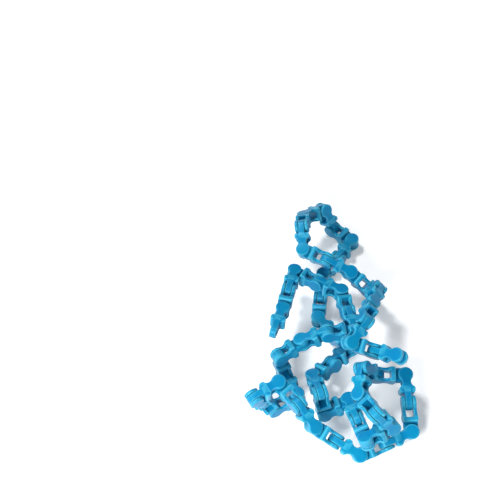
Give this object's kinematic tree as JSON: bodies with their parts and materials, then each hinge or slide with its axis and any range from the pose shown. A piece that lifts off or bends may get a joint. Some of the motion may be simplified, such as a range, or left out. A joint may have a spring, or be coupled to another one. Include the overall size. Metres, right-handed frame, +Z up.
{
  "type": "folding chain puzzle",
  "caption": "Pocket fidget puzzle: an open chain of identical snap-together plastic links whose hinges alternate by a quarter turn, lying in a loose tangle.",
  "frame": {"origin": "centre of the tangle's bounding box on the table plane", "axes": "+Z up from the table, +Y along the tangle's long side, +X across it"},
  "size_m": [0.073, 0.1306, 0.0331],
  "materials": {
    "blue_plastic": "satin moulded ABS, evenly coloured through"
  },
  "bodies": {
    "link_01": {"link_01": "blue_plastic"},
    "link_02": {"link_02": "blue_plastic"},
    "link_03": {"link_03": "blue_plastic"},
    "link_04": {"link_04": "blue_plastic"},
    "link_05": {"link_05": "blue_plastic"},
    "link_06": {"link_06": "blue_plastic"},
    "link_07": {"link_07": "blue_plastic"},
    "link_08": {"link_08": "blue_plastic"},
    "link_09": {"link_09": "blue_plastic"},
    "link_10": {"link_10": "blue_plastic"},
    "link_11": {"link_11": "blue_plastic"},
    "link_12": {"link_12": "blue_plastic"},
    "link_13": {"link_13": "blue_plastic"},
    "link_14": {"link_14": "blue_plastic"},
    "link_15": {"link_15": "blue_plastic"},
    "link_16": {"link_16": "blue_plastic"},
    "link_17": {"link_17": "blue_plastic"},
    "link_18": {"link_18": "blue_plastic"},
    "link_19": {"link_19": "blue_plastic"},
    "link_20": {"link_20": "blue_plastic"},
    "link_21": {"link_21": "blue_plastic"},
    "link_22": {"link_22": "blue_plastic"},
    "link_23": {"link_23": "blue_plastic"},
    "link_24": {"link_24": "blue_plastic"},
    "link_25": {"link_25": "blue_plastic"},
    "link_26": {"link_26": "blue_plastic"},
    "link_27": {"link_27": "blue_plastic"},
    "link_28": {"link_28": "blue_plastic"},
    "link_29": {"link_29": "blue_plastic"},
    "link_30": {"link_30": "blue_plastic"},
    "link_31": {"link_31": "blue_plastic"},
    "link_32": {"link_32": "blue_plastic"},
    "link_33": {"link_33": "blue_plastic"},
    "link_34": {"link_34": "blue_plastic"},
    "link_35": {"link_35": "blue_plastic"},
    "link_36": {"link_36": "blue_plastic"},
    "link_37": {"link_37": "blue_plastic"},
    "link_38": {"link_38": "blue_plastic"},
    "link_39": {"link_39": "blue_plastic"},
    "link_40": {"link_40": "blue_plastic"},
    "link_41": {"link_41": "blue_plastic"},
    "link_42": {"link_42": "blue_plastic"},
    "link_43": {"link_43": "blue_plastic"},
    "link_44": {"link_44": "blue_plastic"},
    "link_45": {"link_45": "blue_plastic"},
    "link_46": {"link_46": "blue_plastic"},
    "link_47": {"link_47": "blue_plastic"},
    "link_48": {"link_48": "blue_plastic"},
    "link_49": {"link_49": "blue_plastic"},
    "link_50": {"link_50": "blue_plastic"},
    "link_51": {"link_51": "blue_plastic"},
    "link_52": {"link_52": "blue_plastic"},
    "link_53": {"link_53": "blue_plastic"},
    "link_54": {"link_54": "blue_plastic"},
    "link_55": {"link_55": "blue_plastic"},
    "link_56": {"link_56": "blue_plastic"},
    "link_57": {"link_57": "blue_plastic"}
  },
  "joints": [
    {"name": "hinge_01", "type": "hinge", "parent": "link_02", "child": "link_01", "pos_m": [-0.02225, 0.00065, 0.01981], "axis": [0.1104, 0.1153, 0.9872], "range_deg": [-110, 15]},
    {"name": "hinge_02", "type": "hinge", "parent": "link_03", "child": "link_02", "pos_m": [-0.01998, 0.01232, 0.01819], "axis": [0.9757, -0.2016, -0.0855], "range_deg": [-120, 110]},
    {"name": "hinge_03", "type": "hinge", "parent": "link_04", "child": "link_03", "pos_m": [-0.01783, 0.02383, 0.01555], "axis": [-0.1264, -0.1997, -0.9717], "range_deg": [-5, 155]},
    {"name": "hinge_04", "type": "hinge", "parent": "link_05", "child": "link_04", "pos_m": [-0.00708, 0.01851, 0.01524], "axis": [-0.4252, -0.8741, 0.2349], "range_deg": [-35, 35]},
    {"name": "hinge_05", "type": "hinge", "parent": "link_06", "child": "link_05", "pos_m": [0.00367, 0.0132, 0.01493], "axis": [0.1264, 0.1997, 0.9717], "range_deg": [-7, 5]},
    {"name": "hinge_06", "type": "hinge", "parent": "link_07", "child": "link_06", "pos_m": [0.00668, 0.00175, 0.0169], "axis": [-0.9599, -0.2226, 0.1706], "range_deg": [-105, 12]},
    {"name": "hinge_07", "type": "hinge", "parent": "link_08", "child": "link_07", "pos_m": [0.00968, -0.00971, 0.01886], "axis": [0.1264, 0.1997, 0.9717], "range_deg": [-5, 10]},
    {"name": "hinge_08", "type": "hinge", "parent": "link_09", "child": "link_08", "pos_m": [-0.00205, -0.01137, 0.02073], "axis": [-0.1657, 0.97, -0.1777], "range_deg": [-12, 10]},
    {"name": "hinge_09", "type": "hinge", "parent": "link_10", "child": "link_09", "pos_m": [-0.01333, -0.01389, 0.01749], "axis": [0.2987, -0.1224, -0.9465], "range_deg": [-20, 7]},
    {"name": "hinge_10", "type": "hinge", "parent": "link_11", "child": "link_10", "pos_m": [-0.02325, -0.02024, 0.01518], "axis": [-0.4772, 0.8397, -0.2592], "range_deg": [-5, 5]},
    {"name": "hinge_11", "type": "hinge", "parent": "link_12", "child": "link_11", "pos_m": [-0.02144, -0.02278, 0.0036], "axis": [-0.8658, -0.4998, -0.0252], "range_deg": [-30, 7]},
    {"name": "hinge_12", "type": "hinge", "parent": "link_13", "child": "link_12", "pos_m": [-0.01544, -0.03318, 0.0036], "axis": [0.0221, 0.0122, -0.9997], "range_deg": [-25, 5]},
    {"name": "hinge_13", "type": "hinge", "parent": "link_14", "child": "link_13", "pos_m": [-0.02583, -0.03917, 0.0033], "axis": [0.4999, -0.8661, 0.0005], "range_deg": [-4, 3]},
    {"name": "hinge_14", "type": "hinge", "parent": "link_15", "child": "link_14", "pos_m": [-0.02963, -0.04136, 0.01447], "axis": [0.806, 0.4655, 0.3656], "range_deg": [-5, 125]},
    {"name": "hinge_15", "type": "hinge", "parent": "link_16", "child": "link_15", "pos_m": [-0.03234, -0.04532, 0.02547], "axis": [-0.5473, 0.8212, 0.1611], "range_deg": [-2, 3]},
    {"name": "hinge_16", "type": "hinge", "parent": "link_17", "child": "link_16", "pos_m": [-0.02232, -0.03872, 0.02583], "axis": [0.064, -0.1509, 0.9865], "range_deg": [-7, 35]},
    {"name": "hinge_17", "type": "hinge", "parent": "link_18", "child": "link_17", "pos_m": [-0.01412, -0.04728, 0.02399], "axis": [0.7267, 0.6845, 0.0575], "range_deg": [-5, 20]},
    {"name": "hinge_18", "type": "hinge", "parent": "link_19", "child": "link_18", "pos_m": [-0.00783, -0.05325, 0.01569], "axis": [-0.4447, 0.5327, -0.72], "range_deg": [-135, 5]},
    {"name": "hinge_19", "type": "hinge", "parent": "link_20", "child": "link_19", "pos_m": [0.00105, -0.05605, 0.00813], "axis": [-0.5039, -0.8134, -0.2906], "range_deg": [-7, 5]},
    {"name": "hinge_20", "type": "hinge", "parent": "link_21", "child": "link_20", "pos_m": [0.01136, -0.0613, 0.00493], "axis": [-0.0901, 0.3841, -0.9189], "range_deg": [-170, 2]},
    {"name": "hinge_21", "type": "hinge", "parent": "link_22", "child": "link_21", "pos_m": [0.02223, -0.05631, 0.00594], "axis": [-0.4147, 0.8244, 0.3852], "range_deg": [-7, 15]},
    {"name": "hinge_22", "type": "hinge", "parent": "link_23", "child": "link_22", "pos_m": [0.03309, -0.05132, 0.00696], "axis": [-0.0901, 0.3841, -0.9189], "range_deg": [-15, 2]},
    {"name": "hinge_23", "type": "hinge", "parent": "link_24", "child": "link_23", "pos_m": [0.03213, -0.04031, 0.01166], "axis": [0.9927, 0.1088, -0.0519], "range_deg": [-3, 4]},
    {"name": "hinge_24", "type": "hinge", "parent": "link_25", "child": "link_24", "pos_m": [0.031, -0.02868, 0.01436], "axis": [-0.0749, 0.219, -0.9728], "range_deg": [-12, 2]},
    {"name": "hinge_25", "type": "hinge", "parent": "link_26", "child": "link_25", "pos_m": [0.01903, -0.02896, 0.01522], "axis": [-0.0076, 0.9754, 0.2202], "range_deg": [-7, 10]},
    {"name": "hinge_26", "type": "hinge", "parent": "link_27", "child": "link_26", "pos_m": [0.01291, -0.03128, 0.02528], "axis": [0.8598, -0.1061, 0.4995], "range_deg": [-5, 7]},
    {"name": "hinge_27", "type": "hinge", "parent": "link_28", "child": "link_27", "pos_m": [0.01193, -0.04321, 0.02442], "axis": [0.5042, 0.0208, -0.8633], "range_deg": [-7, 2]},
    {"name": "hinge_28", "type": "hinge", "parent": "link_29", "child": "link_28", "pos_m": [0.01782, -0.05317, 0.02762], "axis": [0.7108, 0.5577, 0.4285], "range_deg": [-3, 3]},
    {"name": "hinge_29", "type": "hinge", "parent": "link_30", "child": "link_29", "pos_m": [0.02436, -0.05379, 0.01757], "axis": [-0.4446, 0.8284, -0.3407], "range_deg": [-5, 7]},
    {"name": "hinge_30", "type": "hinge", "parent": "link_31", "child": "link_30", "pos_m": [0.0141, -0.05986, 0.01618], "axis": [-0.269, 0.2393, 0.9329], "range_deg": [-2, 15]},
    {"name": "hinge_31", "type": "hinge", "parent": "link_32", "child": "link_31", "pos_m": [0.01063, -0.04902, 0.01239], "axis": [0.9186, 0.3549, 0.1739], "range_deg": [-3, 3]},
    {"name": "hinge_32", "type": "hinge", "parent": "link_33", "child": "link_32", "pos_m": [0.00716, -0.03817, 0.00861], "axis": [-0.269, 0.2393, 0.9329], "range_deg": [-3, 10]},
    {"name": "hinge_33", "type": "hinge", "parent": "link_34", "child": "link_33", "pos_m": [-0.00387, -0.04243, 0.00652], "axis": [0.2895, -0.9038, 0.3153], "range_deg": [-7, 2]},
    {"name": "hinge_34", "type": "hinge", "parent": "link_35", "child": "link_34", "pos_m": [-0.00513, -0.03887, 0.01791], "axis": [0.9514, 0.308, 0.0092], "range_deg": [-4, 5]},
    {"name": "hinge_35", "type": "hinge", "parent": "link_36", "child": "link_35", "pos_m": [-0.00833, -0.02881, 0.01221], "axis": [0.1541, -0.4497, -0.8798], "range_deg": [-4, 5]},
    {"name": "hinge_36", "type": "hinge", "parent": "link_37", "child": "link_36", "pos_m": [-0.00005, -0.02057, 0.00945], "axis": [-0.7067, 0.5721, -0.4162], "range_deg": [-5, 7]},
    {"name": "hinge_37", "type": "hinge", "parent": "link_38", "child": "link_37", "pos_m": [0.00779, -0.01153, 0.00857], "axis": [0.2717, -0.3237, -0.9063], "range_deg": [-4, 5]},
    {"name": "hinge_38", "type": "hinge", "parent": "link_39", "child": "link_38", "pos_m": [0.0008, -0.0032, 0.0035], "axis": [0.766, 0.6428, 0], "range_deg": [-2, 45]},
    {"name": "hinge_39", "type": "hinge", "parent": "link_39", "child": "link_40", "pos_m": [-0.00691, 0.00599, 0.0035], "axis": [0, 0, -1], "range_deg": [-10, 2]},
    {"name": "hinge_40", "type": "hinge", "parent": "link_40", "child": "link_41", "pos_m": [-0.00587, 0.01795, 0.0035], "axis": [-0.9962, 0.0872, 0], "range_deg": [-1, 115]},
    {"name": "hinge_41", "type": "hinge", "parent": "link_41", "child": "link_42", "pos_m": [-0.00482, 0.0299, 0.0035], "axis": [0, 0, 1], "range_deg": [-1, 20]},
    {"name": "hinge_42", "type": "hinge", "parent": "link_42", "child": "link_43", "pos_m": [0.00206, 0.03973, 0.0035], "axis": [-0.8192, 0.5736, 0], "range_deg": [-2, 115]},
    {"name": "hinge_43", "type": "hinge", "parent": "link_43", "child": "link_44", "pos_m": [0.00894, 0.04956, 0.0035], "axis": [0, 0, -1], "range_deg": [-30, 2]},
    {"name": "hinge_44", "type": "hinge", "parent": "link_44", "child": "link_45", "pos_m": [-0.00025, 0.05727, 0.0035], "axis": [-0.6428, -0.766, 0], "range_deg": [-1, 175]},
    {"name": "hinge_45", "type": "hinge", "parent": "link_45", "child": "link_46", "pos_m": [-0.00484, 0.06113, 0.01389], "axis": [0.6634, -0.5567, 0.5], "range_deg": [-10, 5]},
    {"name": "hinge_46", "type": "hinge", "parent": "link_46", "child": "link_47", "pos_m": [-0.01367, 0.05381, 0.01745], "axis": [-0.1401, 0.564, 0.8138], "range_deg": [-1, 55]},
    {"name": "hinge_47", "type": "hinge", "parent": "link_47", "child": "link_48", "pos_m": [-0.01427, 0.04391, 0.0242], "axis": [-0.9888, -0.0377, -0.1441], "range_deg": [-2, 165]},
    {"name": "hinge_48", "type": "hinge", "parent": "link_48", "child": "link_49", "pos_m": [-0.01338, 0.03237, 0.02106], "axis": [0.1288, 0.2694, -0.9544], "range_deg": [-55, 1]},
    {"name": "hinge_49", "type": "hinge", "parent": "link_49", "child": "link_50", "pos_m": [-0.00265, 0.02698, 0.02099], "axis": [0.4297, 0.8522, 0.2985], "range_deg": [-140, 4]},
    {"name": "hinge_50", "type": "hinge", "parent": "link_50", "child": "link_51", "pos_m": [0.00772, 0.02347, 0.01609], "axis": [0.261, -0.4337, 0.8624], "range_deg": [-3, 130]},
    {"name": "hinge_51", "type": "hinge", "parent": "link_51", "child": "link_52", "pos_m": [0.01641, 0.01743, 0.01042], "axis": [0.6388, 0.7474, 0.1826], "range_deg": [-30, 3]},
    {"name": "hinge_52", "type": "hinge", "parent": "link_52", "child": "link_53", "pos_m": [0.02028, 0.01172, 0.02024], "axis": [0.6983, -0.4636, -0.5454], "range_deg": [-165, 4]},
    {"name": "hinge_53", "type": "hinge", "parent": "link_53", "child": "link_54", "pos_m": [0.0169, 0.00118, 0.02487], "axis": [-0.6581, -0.1159, -0.744], "range_deg": [-110, 120]},
    {"name": "hinge_54", "type": "hinge", "parent": "link_54", "child": "link_55", "pos_m": [0.01427, -0.00981, 0.02891], "axis": [-0.7202, 0.3852, 0.577], "range_deg": [-15, 150]},
    {"name": "hinge_55", "type": "hinge", "parent": "link_55", "child": "link_56", "pos_m": [0.00758, -0.0196, 0.02711], "axis": [-0.413, 0.4302, -0.8027], "range_deg": [-5, 5]},
    {"name": "hinge_56", "type": "hinge", "parent": "link_56", "child": "link_57", "pos_m": [0.01799, -0.0206, 0.02122], "axis": [0.2775, 0.8989, 0.339], "range_deg": [-60, 17]}
  ]
}
